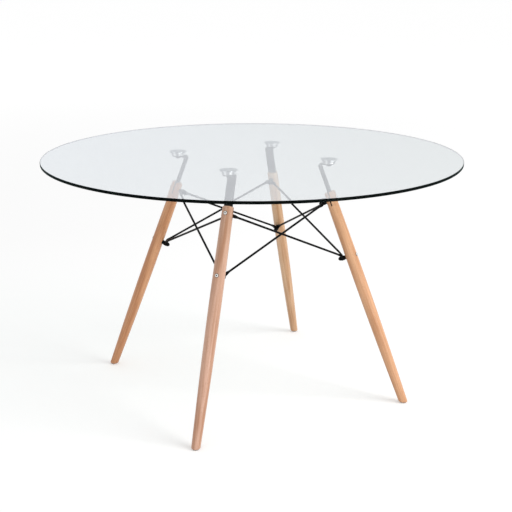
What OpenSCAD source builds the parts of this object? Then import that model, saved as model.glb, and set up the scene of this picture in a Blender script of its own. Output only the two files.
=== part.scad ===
// Round glass dining table on four leaning turned legs.
// Each leg carries a folded steel strap that holds the top through a bonded metal pad.
// Crossed steel rods tie every pair of neighbouring legs together.
// The origin is on the floor under the middle of the top, with the front along -Y.

/* [Top] */
// Diameter of the glass top
glass_d = 1200; // [1000:10:1400]
// Thickness of the glass
glass_t = 8; // [6:1:12]
// Small ground bevel along both rims of the glass
glass_arris = 1; // [0.5:0.25:1.5]
// Height of the upper face of the glass above the floor
table_h = 710; // [640:5:780]

/* [Legs] */
// Distance of a foot from the middle, along the leg's direction
foot_r = 470; // [420:5:520]
// Sideways shift of every leg from the line through the middle
leg_shift = 19; // [15:1:30]
// Diameter of a leg at the floor
leg_foot_d = 24.5; // [20:0.5:28]
// Diameter of a leg where it is thickest
leg_belly_d = 34.5; // [30:0.5:38]
// Diameter of a leg at its upper end
leg_top_d = 31; // [28:0.5:34]
// Distance of the thickest section from the foot
leg_belly_s = 392; // [340:1:430]
// Radius that rounds the shoulder at the upper end
leg_round = 4; // [2:0.5:5]

/* [Straps] */
// Width of the flat steel strap
strap_w = 25; // [20:1:26]
// Thickness of the strap
strap_t = 4; // [3:0.5:5]
// Radius of the fold, at the middle of the thickness
strap_bend_r = 6; // [4:0.5:8]
// Depth of the slot that takes the strap in the leg's upper end
slot_depth = 35; // [32:1:45]
// Distance from the leg's upper end to the corner of the fold, along the leg
strap_show = 86; // [70:1:100]
// Distance from the corner of the fold to the pad screw
fold_to_screw = 28.4; // [26:0.2:32]
// Distance that the strap's upper end runs past the pad screw
strap_past_screw = 12; // [10:1:18]

/* [Pads] */
// Distance of each pad from the middle
pad_r = 226; // [200:1:250]
// Diameter of the flange bonded to the glass
pad_flange_d = 50; // [46:1:60]
// Thickness of that flange
pad_flange_t = 3; // [2:0.5:4]
// Diameter of the turned body under the flange
pad_body_d = 40; // [34:1:44]
// Height of the body
pad_body_h = 9; // [8:0.5:12]
// Thread diameter of the pad screw
pad_screw_d = 8; // [6:1:8]
// Length of its thread inside the pad
pad_grip = 6.5; // [5:0.5:8]

/* [Bracing] */
// Diameter of a brace rod
rod_d = 6; // [5:0.5:6]
// Diameter of the flattened eye at each rod end
eye_d = 14; // [13:0.5:15]
// Thickness of the eye
eye_t = 4.5; // [4:0.25:5]
// Distance from the middle of the eye to the fold
eye_neck = 12; // [11:0.5:14]
// Width of the flattened neck
neck_w = 10; // [8:0.5:11]
// Length over which the neck becomes round again
rod_taper = 14; // [10:1:20]

/* [Bolts] */
// Distance of the upper bolt from the leg's upper end
upper_bolt_drop = 20; // [18:1:24]
// Distance of the lower bolt from the leg's upper end
lower_bolt_drop = 190; // [160:5:220]
// Thread diameter of the leg bolts
bolt_d = 6; // [5:0.5:6]
// Diameter of a bolt head
head_d = 11; // [10:0.5:12]
// Height of a bolt head
head_h = 3; // [2.5:0.25:3.5]
// Length of a bolt's thread inside its nut
nut_grip = 4; // [3:0.5:5]
// Length of the sleeve between leg and rods
sleeve_len = 7; // [6:0.5:8]
// Outer diameter of the sleeve
sleeve_d = 12; // [11:0.5:13]
// Width of the dome nut across its flats
nut_flats = 11; // [10:0.5:12]
// Height of the nut's hexagon
nut_hex_h = 5; // [4:0.5:6]

/* [Feet] */
// Diameter of the plastic glide under a leg
glide_d = 18; // [14:1:20]
// Thickness of the glide
glide_t = 2; // [1.5:0.5:4]

/* [Hidden] */
$fn = 48;
// running clearance between a round part and its hole
hole_play = 0.4;
// side clearance of the strap in its slot
slot_play = 0.2;
// depth of the flat seats cut into the round leg at each bolt
seat_depth = 1.2;
seat_play = 1;
// how far a cutter runs past the face that it cuts
over = 1;
pad_chamfer = 0.8;
screw_washer_d = 16;
screw_washer_t = 1.5;
screw_head_d = 14;
screw_head_h = 4.4;
// screw heads: sphere radius as a share of the diameter, socket depth and socket width
cap_curve = 0.7;
socket_share = 0.5;
socket_flats = 0.65;
// radius of a nut's dome, as a share of its width across flats
nut_dome_share = 0.46;
// how much fuller the fold of a rod end is than the neck and the rod that it joins
fold_grow = 0.5;
pin_d = 2.4;
pin_len = 20;
leg_steps = 20;
arc_steps = 6;
leg_angles = [225, 315, 45, 135];

glass_low = table_h - glass_t;
tab_top = glass_low - pad_flange_t - pad_body_h;
tab_mid = tab_top - strap_t / 2;
screw_seat = tab_top - strap_t - screw_washer_t;
screw_shank = screw_washer_t + strap_t + pad_grip;
// A leg's axis runs from its foot to the corner of its strap's fold, so its lean and its
// length follow from the height of the table, the spread of the feet and the pads' place.
corner_r = pad_r - fold_to_screw;
leg_lean = atan((foot_r - corner_r) / tab_mid);
leg_len = tab_mid / cos(leg_lean) - strap_show;
upper_bolt = leg_len - upper_bolt_drop;
lower_bolt = leg_len - lower_bolt_drop;
bolt_hole = bolt_d + hole_play;
nut_dome_r = nut_flats * nut_dome_share;

function unit(v) = v / norm(v);

// points of a round stretch about a centre, from one angle to another
function arc(centre, r, from, to) = [
    for (i = [0 : arc_steps])
        let (a = from + (to - from) * i / arc_steps)
        [centre.x + r * cos(a), centre.y + r * sin(a)]
];

// Radius of a leg at a distance from its foot: it swells from the foot to the belly
// and draws in again towards the upper end.
function leg_radius(s) =
    let (rise = s / leg_belly_s, past = (s - leg_belly_s) / (leg_len - leg_belly_s))
    s < leg_belly_s
        ? (leg_foot_d + (leg_belly_d - leg_foot_d) * sin(90 * rise)) / 2
        : (leg_top_d + (leg_belly_d - leg_top_d) * cos(90 * past)) / 2;

// distance from a leg's axis to the flat seats of a bolt
function seat_at(s) = leg_radius(s) - seat_depth;

// length of a bolt's shank: through the leg, the sleeve and two eyes, and into the nut
function shank_len(s) = 2 * seat_at(s) + sleeve_len + 2 * eye_t + nut_grip;

// directions of a leg in plan, and of its bolts, which point outwards and up
function leg_out(k) = [cos(leg_angles[k]), sin(leg_angles[k]), 0];
function leg_side(k) = [-sin(leg_angles[k]), cos(leg_angles[k]), 0];
function bolt_out(k) = leg_out(k) * cos(leg_lean) + [0, 0, sin(leg_lean)];

// point at a distance along a leg and outwards from its axis
function leg_point(k, s, out) =
    leg_out(k) * (foot_r - s * sin(leg_lean) + out * cos(leg_lean))
    + leg_side(k) * leg_shift
    + [0, 0, s * cos(leg_lean) + out * sin(leg_lean)];

// middle of the eye in the given layer on a bolt, layer 0 being next to the sleeve
function eye_point(k, s, layer) =
    leg_point(k, s, -(seat_at(s) + sleeve_len + eye_t * (layer + 0.5)));

// direction of a rod, laid into the plane of the eye on a leg's bolt
function neck_dir(k, along) = unit(along - bolt_out(k) * (along * bolt_out(k)));

// plan position of a leg: x points outwards from the middle
module at_leg(k) {
    rotate([0, 0, leg_angles[k]])
        translate([0, leg_shift, 0])
            children();
}

// place on a leg's axis: z runs up the leg and x points outwards, along its bolts
module on_axis(s) {
    translate([foot_r, 0, 0])
        rotate([0, -leg_lean, 0])
            translate([0, 0, s])
                children();
}

// inner seats of the two bolts of one leg, with z along the bolt and away from the leg
module at_inner_seats(k) {
    at_leg(k)
        for (s = [lower_bolt, upper_bolt])
            on_axis(s)
                translate([-seat_at(s), 0, 0])
                    rotate([0, -90, 0])
                        children();
}

// solid of revolution lying along +x from the origin
module along_x(h, d) {
    rotate([0, 90, 0])
        cylinder(h = h, d = d);
}

// frame whose x, y and z follow the given directions
module frame(origin, x, y, z) {
    multmatrix([
        [x.x, y.x, z.x, origin.x],
        [x.y, y.y, z.y, origin.y],
        [x.z, y.z, z.z, origin.z],
        [0, 0, 0, 1]
    ])
        children();
}

// Glass top: one flat disc with both rims ground
module glass_top() {
    r = glass_d / 2;
    color([0.78, 0.88, 0.86, 0.4])
        translate([0, 0, glass_low])
            rotate_extrude($fn = 180)
                polygon([
                    [0, 0],
                    [r - glass_arris, 0],
                    [r, glass_arris],
                    [r, glass_t - glass_arris],
                    [r - glass_arris, glass_t],
                    [0, glass_t]
                ]);
}

// Pad: turned disc bonded under the glass, tapped from below for its screw
module pad(k) {
    flange_low = glass_low - pad_flange_t;
    tap_r = (pad_screw_d + hole_play / 2) / 2;
    tap_top = screw_seat + screw_shank + over;
    body_r = pad_body_d / 2;
    flange_r = pad_flange_d / 2;
    color([0.80, 0.81, 0.83])
        at_leg(k)
            translate([pad_r, 0, 0])
                rotate_extrude()
                    polygon([
                        [tap_r, tab_top],
                        [body_r - pad_chamfer, tab_top],
                        [body_r, tab_top + pad_chamfer],
                        [body_r, flange_low],
                        [flange_r, flange_low],
                        [flange_r, glass_low],
                        [0, glass_low],
                        [0, tap_top],
                        [tap_r, tap_top]
                    ]);
}

// Button-head screw: the domed head stands on +z with a hexagon socket, the shank points down
module button_screw(shank_d, shank_h, cap_d, cap_h) {
    cap_r = cap_d * cap_curve;
    translate([0, 0, -shank_h])
        cylinder(h = shank_h, d = shank_d);
    difference() {
        intersection() {
            cylinder(h = cap_h, d = cap_d);
            translate([0, 0, cap_h - cap_r])
                sphere(r = cap_r);
        }
        translate([0, 0, cap_h * socket_share])
            cylinder(h = cap_h, d = shank_d * socket_flats / cos(30), $fn = 6);
    }
}

// Pad screws: button heads under the straps, threaded up into the pads
module pad_screws() {
    color([0.12, 0.12, 0.13])
        for (k = [0 : 3])
            at_leg(k)
                translate([pad_r, 0, screw_seat])
                    rotate([180, 0, 0])
                        button_screw(pad_screw_d, screw_shank, screw_head_d, screw_head_h);
}

// Pad washers: flat rings between screw head and strap
module pad_washers() {
    color([0.16, 0.16, 0.17])
        for (k = [0 : 3])
            at_leg(k)
                translate([pad_r, 0, screw_seat])
                    difference() {
                        cylinder(h = screw_washer_t, d = screw_washer_d);
                        translate([0, 0, -over])
                            cylinder(h = screw_washer_t + 2 * over, d = pad_screw_d + hole_play);
                    }
}

// Strap: flat bar that leaves the leg along its axis and folds outwards under the pad
module strap(k) {
    low_end = leg_len - slot_depth + over;
    outward = [cos(leg_lean), sin(leg_lean)];
    centre_z = tab_mid - strap_bend_r;
    centre = [foot_r + (strap_bend_r - centre_z * sin(leg_lean)) / cos(leg_lean), centre_z];
    foot = [foot_r - low_end * sin(leg_lean), low_end * cos(leg_lean)];
    half = strap_t / 2;
    tab_end = pad_r + strap_past_screw;
    outline = concat(
        [foot - outward * half],
        arc(centre, strap_bend_r + half, 180 + leg_lean, 90),
        [[tab_end, tab_top], [tab_end, tab_top - strap_t]],
        arc(centre, strap_bend_r - half, 90, 180 + leg_lean),
        [foot + outward * half]
    );
    color([0.13, 0.13, 0.14])
        at_leg(k)
            difference() {
                rotate([90, 0, 0])
                    linear_extrude(height = strap_w, center = true)
                        polygon(outline);
                translate([pad_r, 0, tab_top - strap_t - over])
                    cylinder(h = strap_t + 2 * over, d = pad_screw_d + hole_play);
                on_axis(upper_bolt)
                    translate([-strap_t, 0, 0])
                        along_x(2 * strap_t, bolt_hole);
            }
}

// Leg: turned beech, slotted at the top and drilled across for two bolts
module leg(k) {
    below = -leg_foot_d / 2;
    shoulder = leg_len - leg_round;
    profile = concat(
        [[0, below]],
        [
            for (i = [0 : leg_steps - 1])
                let (s = below + (shoulder - below) * i / leg_steps)
                [leg_radius(max(s, 0)), s]
        ],
        arc([leg_radius(shoulder) - leg_round, shoulder], leg_round, 0, 90),
        [[0, leg_len]]
    );
    color([0.82, 0.63, 0.47])
        at_leg(k)
            difference() {
                on_axis(0)
                    rotate_extrude()
                        polygon(profile);
                on_axis(leg_len - slot_depth)
                    translate([-(strap_t + slot_play) / 2, -leg_belly_d, 0])
                        cube([strap_t + slot_play, 2 * leg_belly_d, slot_depth + over]);
                for (s = [lower_bolt, upper_bolt])
                    on_axis(s) {
                        translate([-leg_belly_d, 0, 0])
                            along_x(2 * leg_belly_d, bolt_hole);
                        translate([seat_at(s), 0, 0])
                            along_x(leg_belly_d, head_d + seat_play);
                        translate([-seat_at(s) - leg_belly_d, 0, 0])
                            along_x(leg_belly_d, sleeve_d + seat_play);
                    }
                on_axis(-pin_len)
                    cylinder(h = 2 * pin_len + over, d = pin_d + hole_play / 2);
                translate([foot_r - leg_belly_d, -leg_belly_d, glide_t - leg_belly_d])
                    cube([2 * leg_belly_d, 2 * leg_belly_d, leg_belly_d]);
            }
}

// Rod end: flat eye on the bolt, a neck, and a fold from which the rod grows round again.
// The bolt is along z and the neck along x.
module rod_end(fold) {
    knuckle_d = eye_t + fold_grow;
    difference() {
        union() {
            cylinder(h = eye_t, d = eye_d, center = true);
            translate([0, -neck_w / 2, -eye_t / 2])
                cube([eye_neck, neck_w, eye_t]);
        }
        cylinder(h = eye_t + 2 * over, d = bolt_hole, center = true);
    }
    translate([eye_neck, 0, 0])
        hull() {
            rotate([90, 0, 0])
                cylinder(h = neck_w + fold_grow, d = knuckle_d, center = true, $fn = 24);
            rotate([0, fold, 0])
                translate([rod_taper - over, 0, 0])
                    rotate([0, 90, 0])
                        cylinder(h = over, d = rod_d + fold_grow, $fn = 32);
        }
}

// Brace rod from the upper bolt of one leg to the lower bolt of a neighbour
module brace(high, low, layer) {
    eyes = [eye_point(high, upper_bolt, layer), eye_point(low, lower_bolt, layer)];
    legs = [high, low];
    line = unit(eyes[1] - eyes[0]);
    necks = [neck_dir(high, line), neck_dir(low, -line)];
    folds = [for (i = [0, 1]) eyes[i] + necks[i] * eye_neck];
    along = unit(folds[1] - folds[0]);
    ways = [along, -along];
    length = norm(folds[1] - folds[0]);
    inset = rod_taper - 2 * over;
    color([0.09, 0.09, 0.10]) {
        for (i = [0, 1])
            let (z = bolt_out(legs[i]), x = necks[i], tilt = asin(-(ways[i] * z)))
            frame(eyes[i], x, cross(z, x), z)
                rod_end(tilt);
        let (side = unit(cross([0, 0, 1], along)))
        frame(folds[0] + along * inset, side, cross(along, side), along)
            cylinder(h = length - 2 * inset, d = rod_d);
    }
}

// Leg bolts: low round heads with a hexagon socket on the outside of the legs
module leg_bolts() {
    color([0.86, 0.86, 0.84])
        for (k = [0 : 3])
            at_leg(k)
                for (s = [lower_bolt, upper_bolt])
                    on_axis(s)
                        translate([seat_at(s), 0, 0])
                            rotate([0, 90, 0])
                                button_screw(bolt_d, shank_len(s), head_d, head_h);
}

// Sleeves: round spacers that hold the rod eyes clear of the legs
module brace_sleeves() {
    color([0.10, 0.10, 0.11])
        for (k = [0 : 3])
            at_inner_seats(k)
                difference() {
                    cylinder(h = sleeve_len, d = sleeve_d);
                    translate([0, 0, -over])
                        cylinder(h = sleeve_len + 2 * over, d = bolt_hole);
                }
}

// Dome nuts: closed hexagon nuts that clamp the two rod eyes on each bolt
module dome_nuts() {
    color([0.10, 0.10, 0.11])
        for (k = [0 : 3])
            at_inner_seats(k)
                translate([0, 0, sleeve_len + 2 * eye_t])
                    difference() {
                        union() {
                            cylinder(h = nut_hex_h, d = nut_flats / cos(30), $fn = 6);
                            translate([0, 0, nut_hex_h - over])
                                sphere(r = nut_dome_r);
                        }
                        translate([0, 0, -nut_dome_r])
                            cylinder(
                                h = nut_dome_r + nut_hex_h + over,
                                d = bolt_d + hole_play / 2
                            );
                    }
}

// Glide: plastic disc under the foot, held by a pin along the leg's axis
module glide(k) {
    color([0.62, 0.63, 0.62])
        at_leg(k) {
            translate([foot_r - glide_t * tan(leg_lean), 0, 0])
                cylinder(h = glide_t, d = glide_d);
            on_axis(glide_t / 2)
                cylinder(h = pin_len - glide_t, d = pin_d);
        }
}

glass_top();
pad(0);  // pad_front_left
pad(1);  // pad_front_right
pad(2);  // pad_back_right
pad(3);  // pad_back_left
pad_screws();
pad_washers();
strap(0);  // strap_front_left
strap(1);  // strap_front_right
strap(2);  // strap_back_right
strap(3);  // strap_back_left
leg(0);  // leg_front_left
leg(1);  // leg_front_right
leg(2);  // leg_back_right
leg(3);  // leg_back_left
brace(0, 1, 0);  // brace_front_high_left
brace(1, 0, 1);  // brace_front_high_right
brace(1, 2, 0);  // brace_right_high_front
brace(2, 1, 1);  // brace_right_high_back
brace(2, 3, 0);  // brace_back_high_right
brace(3, 2, 1);  // brace_back_high_left
brace(3, 0, 0);  // brace_left_high_back
brace(0, 3, 1);  // brace_left_high_front
leg_bolts();
brace_sleeves();
dome_nuts();
glide(0);  // glide_front_left
glide(1);  // glide_front_right
glide(2);  // glide_back_right
glide(3);  // glide_back_left
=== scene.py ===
"""Looks for the round glass dining table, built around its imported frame. In metres."""

import math

import bmesh
import bpy
from mathutils import Matrix, Vector


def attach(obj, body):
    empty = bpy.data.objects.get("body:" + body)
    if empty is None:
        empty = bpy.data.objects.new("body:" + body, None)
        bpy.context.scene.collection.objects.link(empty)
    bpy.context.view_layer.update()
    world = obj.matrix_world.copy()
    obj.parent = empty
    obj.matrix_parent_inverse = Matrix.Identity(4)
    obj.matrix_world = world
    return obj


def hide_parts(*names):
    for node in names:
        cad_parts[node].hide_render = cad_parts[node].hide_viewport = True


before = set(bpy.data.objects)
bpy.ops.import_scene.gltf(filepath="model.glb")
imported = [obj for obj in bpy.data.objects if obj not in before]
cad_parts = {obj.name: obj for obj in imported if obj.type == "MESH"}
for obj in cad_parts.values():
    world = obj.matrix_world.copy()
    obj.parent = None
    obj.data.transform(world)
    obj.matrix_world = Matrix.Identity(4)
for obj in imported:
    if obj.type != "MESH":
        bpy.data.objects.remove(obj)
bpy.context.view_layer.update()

# Camera: where the photographer stood, front left of the table and half a metre
# above its top, with a short telephoto view. The picture's middle lies a few
# pixels to the right of the middle of the lens, and above it.

LOOKED_AT = Vector((0.0, 0.0, 0.400))
STAND_OFF = 2.91527
ROUND_THE_TABLE = math.radians(-24.19)
ABOVE_LEVEL = math.radians(16.306)
FOCAL_PIXELS = 979.745
PHOTO_PIXELS = 512
FILM_WIDTH = 36.0
PIXELS_RIGHT, PIXELS_UP = 4.11, 1.40
NEAREST, FARTHEST = 0.05, 200.0

towards_camera = Vector((
    math.sin(ROUND_THE_TABLE) * math.cos(ABOVE_LEVEL),
    -math.cos(ROUND_THE_TABLE) * math.cos(ABOVE_LEVEL),
    math.sin(ABOVE_LEVEL),
))
view = bpy.data.cameras.new("photo_view")
view.sensor_width = FILM_WIDTH
view.lens = FOCAL_PIXELS / PHOTO_PIXELS * FILM_WIDTH
view.shift_x = PIXELS_RIGHT / PHOTO_PIXELS
view.shift_y = PIXELS_UP / PHOTO_PIXELS
view.clip_start, view.clip_end = NEAREST, FARTHEST
camera = bpy.data.objects.new("photo_camera", view)
camera.location = LOOKED_AT + towards_camera * STAND_OFF
camera.rotation_euler = towards_camera.to_track_quat("Z", "Y").to_euler()
bpy.context.scene.collection.objects.link(camera)
bpy.context.scene.camera = camera

# Legs: four pieces of light beech turned on a lathe, thickest above the middle,
# slotted at the top, drilled for two bolts each and sawn level at the floor.

CORNERS = {"front_left": 225, "front_right": 315, "back_right": 45, "back_left": 135}
FOOT_RADIUS = 0.470
LEG_SHIFT = 0.019
TAB_MIDDLE = 0.688
FOLD_RADIUS = 0.1976
LEG_LEAN = math.atan((FOOT_RADIUS - FOLD_RADIUS) / TAB_MIDDLE)
END_TO_FOLD = 0.086
LEG_LENGTH = TAB_MIDDLE / math.cos(LEG_LEAN) - END_TO_FOLD
LEG_FOOT, LEG_BELLY, LEG_TOP = 0.0245, 0.0345, 0.031
BELLY_AT = 0.392
SHOULDER, FOOT_EDGE = 0.004, 0.0040
SLOT_WIDTH, SLOT_DEPTH = 0.0042, 0.035
SAW_LENGTH, DRILL_LENGTH, PAST_THE_WOOD = 0.070, 0.060, 0.0005
BOLTS_AT = {"lower": LEG_LENGTH - 0.190, "upper": LEG_LENGTH - 0.020}
BOLT_HOLE = 0.0064
SEAT_DEPTH, SEAT_CUT = 0.0012, 0.030
HEAD_SEAT, SLEEVE_SEAT = 0.0120, 0.0130
PIN_HOLE, PIN_DRILL = 0.0026, 0.041
GLIDE_THICKNESS = 0.002


def leg_radius(along):
    """Radius of the turned leg at a distance from its foot."""
    if along < BELLY_AT:
        swell = math.sin(math.pi / 2 * along / BELLY_AT)
        return (LEG_FOOT + (LEG_BELLY - LEG_FOOT) * swell) / 2
    taper = math.cos(math.pi / 2 * (along - BELLY_AT) / (LEG_LENGTH - BELLY_AT))
    return (LEG_TOP + (LEG_BELLY - LEG_TOP) * taper) / 2


def bolt_seat(along):
    """Distance from a leg's axis to the flat that a bolt head or a sleeve sits on."""
    return leg_radius(along) - SEAT_DEPTH


def corner_place(corner):
    """Matrix of a corner of the table: x points outwards, z up, the leg stands at y = 0."""
    turn = Matrix.Rotation(math.radians(CORNERS[corner]), 4, "Z")
    return turn @ Matrix.Translation((0, LEG_SHIFT, 0))


def leg_place(corner, along=0.0):
    """Matrix of a point on a leg's axis: z runs up the leg and x points outwards."""
    lean = Matrix.Rotation(-LEG_LEAN, 4, "Y")
    up_the_leg = Matrix.Translation((0, 0, along))
    return corner_place(corner) @ Matrix.Translation((FOOT_RADIUS, 0, 0)) @ lean @ up_the_leg


class Wire:
    """One output of a node, which takes part in sums: each operator adds a Math node."""

    def __init__(self, recipe, socket):
        self.recipe, self.socket = recipe, socket

    def math(self, operation, *values):
        """What a Math node makes of some values."""
        return self.recipe.node("ShaderNodeMath", {"operation": operation}, dict(enumerate(values)))

    def other(self, output):
        """Another output of the same node."""
        return Wire(self.recipe, self.socket.node.outputs[output])

    def __add__(self, value):
        return self.math("ADD", self, value)

    def __sub__(self, value):
        return self.math("SUBTRACT", self, value)

    def __rsub__(self, value):
        return self.math("SUBTRACT", value, self)

    def __mul__(self, value):
        return self.math("MULTIPLY", self, value)

    def __truediv__(self, value):
        return self.math("DIVIDE", self, value)

    def __pow__(self, value):
        return self.math("POWER", self, value)

    __radd__, __rmul__ = __add__, __mul__

    def sine(self):
        return self.math("SINE", self)

    def cosine(self):
        return self.math("COSINE", self)

    def limited(self):
        """The value held between 0 and 1."""
        return self.recipe.node("ShaderNodeClamp", {}, {0: self})

    def above(self, value):
        """1 where the value is larger than another, and 0 elsewhere."""
        return self.math("GREATER_THAN", self, value)

    def least(self, value):
        """The smaller of two values."""
        return self.math("MINIMUM", self, value)

    def most(self, value):
        """The larger of two values."""
        return self.math("MAXIMUM", self, value)


class Recipe:
    """A node tree that is written as a list of steps: a finish or a rule for a shape."""

    def __init__(self, tree):
        self.tree = tree
        tree.nodes.clear()

    @classmethod
    def finish(cls, name):
        """Starts a material."""
        material = bpy.data.materials.new(name)
        material.use_nodes = True
        recipe = cls(material.node_tree)
        recipe.material = material
        return recipe

    @classmethod
    def shape(cls, name):
        """Starts a rule that makes or changes a mesh."""
        recipe = cls(bpy.data.node_groups.new(name, "GeometryNodeTree"))
        face = recipe.tree.interface
        face.new_socket("Geometry", in_out="INPUT", socket_type="NodeSocketGeometry")
        face.new_socket("Geometry", in_out="OUTPUT", socket_type="NodeSocketGeometry")
        recipe.entry = recipe.tree.nodes.new("NodeGroupInput")
        recipe.sizes = {}
        return recipe

    def start(self):
        """The geometry that the shape's own object brings."""
        return Wire(self, self.entry.outputs[0])

    def size(self, name, value, kind="NodeSocketFloat"):
        """A named input of a shape, such as a length."""
        socket = self.tree.interface.new_socket(name, in_out="INPUT", socket_type=kind)
        self.sizes[name] = socket.identifier, value
        return Wire(self, self.entry.outputs[name])

    def node(self, kind, settings, inputs, output=0):
        """Adds a node: its settings first, then the values or wires of its sockets."""
        made = self.tree.nodes.new(kind)
        for name, value in settings.items():
            setattr(made, name, value)
        for key, value in inputs.items():
            wires = value if isinstance(value, list) else [value]
            for wire in wires:
                if isinstance(wire, Wire):
                    self.tree.links.new(wire.socket, made.inputs[key])
                else:
                    made.inputs[key].default_value = wire
        return Wire(self, made.outputs[output]) if made.outputs else None

    def blend(self, factor, first, second, mode="MIX"):
        """One colour laid over another."""
        first, second = (c if isinstance(c, Wire) else (*c, 1.0) for c in (first, second))
        return self.node(
            "ShaderNodeMix",
            {"data_type": "RGBA", "blend_type": mode},
            {0: factor, 6: first, 7: second},
            output=2,
        )

    def vector(self, x, y, z):
        """A vector from its three parts."""
        return self.node("ShaderNodeCombineXYZ", {}, {0: x, 1: y, 2: z})

    def parts(self, vector):
        """The x, y and z of a vector."""
        x = self.node("ShaderNodeSeparateXYZ", {}, {0: vector})
        return x, x.other(1), x.other(2)

    def surface(self, shader):
        """Ends a finish."""
        self.node("ShaderNodeOutputMaterial", {}, {"Surface": shader})
        return self.material

    def lacquer(self, colour, roughness, bump=None, **constants):
        """A Principled surface. Constants are named as its sockets, with _ for a space."""
        inputs = {"Base Color": colour, "Roughness": roughness}
        if bump is not None:
            inputs["Normal"] = bump
        for name, value in constants.items():
            inputs[name.replace("_", " ")] = value
        return self.node("ShaderNodeBsdfPrincipled", {}, inputs)

    def result(self, geometry, finish):
        """Ends a shape: instances become real and take their finish."""
        real = self.node("GeometryNodeRealizeInstances", {}, {0: geometry})
        dressed = self.node("GeometryNodeSetMaterial", {}, {0: real, "Material": finish})
        self.node("NodeGroupOutput", {}, {0: dressed})


def as_plain_mesh(bench):
    """What an object's modifiers make of it, as a mesh of its own. The object goes."""
    bpy.context.view_layer.update()
    graph = bpy.context.evaluated_depsgraph_get()
    mesh = bpy.data.meshes.new_from_object(
        bench.evaluated_get(graph), preserve_all_data_layers=True, depsgraph=graph
    )
    bpy.data.objects.remove(bench)
    return mesh


def made_by(recipe, name, blank=None, **changed):
    """Runs a shape's rule on a blank and returns the plain mesh."""
    blank = blank or bpy.data.meshes.new(name)
    bench = bpy.data.objects.new(name, blank)
    bpy.context.scene.collection.objects.link(bench)
    rule = bench.modifiers.new("rule", "NODES")
    rule.node_group = recipe.tree
    for label, (identifier, value) in recipe.sizes.items():
        rule[identifier] = changed.get(label.lower().replace(" ", "_"), value)
    mesh = as_plain_mesh(bench)
    mesh.name = name
    finish = mesh.materials[-1]
    mesh.materials.clear()
    mesh.materials.append(finish)
    return mesh


def creased(mesh, angle=32):
    """Smooth shading with creases at sharp turns. Wide faces lead, so that flat ones stay flat."""
    mesh.shade_smooth()
    mesh.set_sharp_from_angle(angle=math.radians(angle))
    bench = bpy.data.objects.new(mesh.name, mesh)
    bpy.context.scene.collection.objects.link(bench)
    led = bench.modifiers.new("led_by_wide_faces", "WEIGHTED_NORMAL")
    led.keep_sharp = True
    shaded = as_plain_mesh(bench)
    shaded.name = mesh.name
    return shaded


def finished(name, mesh, node, place=Matrix()):
    """Puts a mesh in its place on the table as the piece that stands for a CAD node."""
    mesh.transform(place)
    piece = bpy.data.objects.new(name, mesh)
    bpy.context.scene.collection.objects.link(piece)
    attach(piece, "root")
    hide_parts(node)


def beech_finish():
    """Light beech under a thin satin lacquer: rings, fibres, ray flecks and a blotchy tone."""
    wood = Recipe.finish("light_beech")
    grain = wood.node("ShaderNodeAttribute", {"attribute_name": "grain"}, {}, output=1)
    timber = wood.node("ShaderNodeAttribute", {"attribute_name": "timber"}, {}, output=0)
    across, side, along = wood.parts(grain)
    pith_across, pith_side, pith_sway = 0.034, 0.021, 0.012
    ring_rate, flecks_across, flecks_along = 2400.0, 620.0, 120.0
    fleck_size, bare_of_flecks = 3.4, 0.44

    def noise(scale_across, scale_along, detail=2.0, roughness=0.5):
        """Noise drawn out along the grain. Its scales are per metre."""
        stretched = wood.vector(across * scale_across, side * scale_across, along * scale_along)
        return wood.node(
            "ShaderNodeTexNoise", {},
            {"Vector": stretched, "Scale": 1.0, "Detail": detail, "Roughness": roughness},
        )

    bend = noise(14.0, 3.0)
    pith_x = across + pith_across + bend * pith_sway
    pith_y = side + pith_side
    from_pith = (pith_x ** 2.0 + pith_y ** 2.0) ** 0.5
    ring = (from_pith * ring_rate + noise(60.0, 5.0) * 2.0).sine() * 0.5 + 0.5
    blotch = noise(78.0, 5.0)
    streak = noise(240.0, 7.0, 4.0, 0.6)
    fibre = noise(1500.0, 36.0, 2.0)
    drawn_out = wood.vector(across * flecks_across, side * flecks_across, along * flecks_along)
    dashes = wood.node(
        "ShaderNodeTexVoronoi", {"feature": "F1", "distance": "EUCLIDEAN"},
        {"Vector": drawn_out, "Scale": 1.0},
    )
    fleck = (1.0 - dashes * fleck_size).limited() * noise(70.0, 20.0).above(bare_of_flecks)
    depth = (ring * 0.30 + streak * 1.35 + blotch * 2.10 - 1.37).limited()
    deep = wood.blend(1.0, timber, (0.67, 0.53, 0.41), "MULTIPLY")
    body = wood.blend(depth, timber, deep)
    fibred = wood.blend(fibre * 0.14, body, (0.45, 0.26, 0.16))
    colour = wood.blend(fleck * 0.75, fibred, (0.32, 0.15, 0.08))
    height = fibre * 0.5 + streak * 0.3 - fleck * 0.4
    relief = wood.node("ShaderNodeBump", {}, {"Strength": 0.10, "Distance": 0.0006, "Height": height})
    return wood.surface(wood.lacquer(
        colour, 0.34 + fibre * 0.12 + depth * 0.06, relief,
        Specular_IOR_Level=0.42, Coat_Weight=0.4, Coat_Roughness=0.25,
    ))


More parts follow.
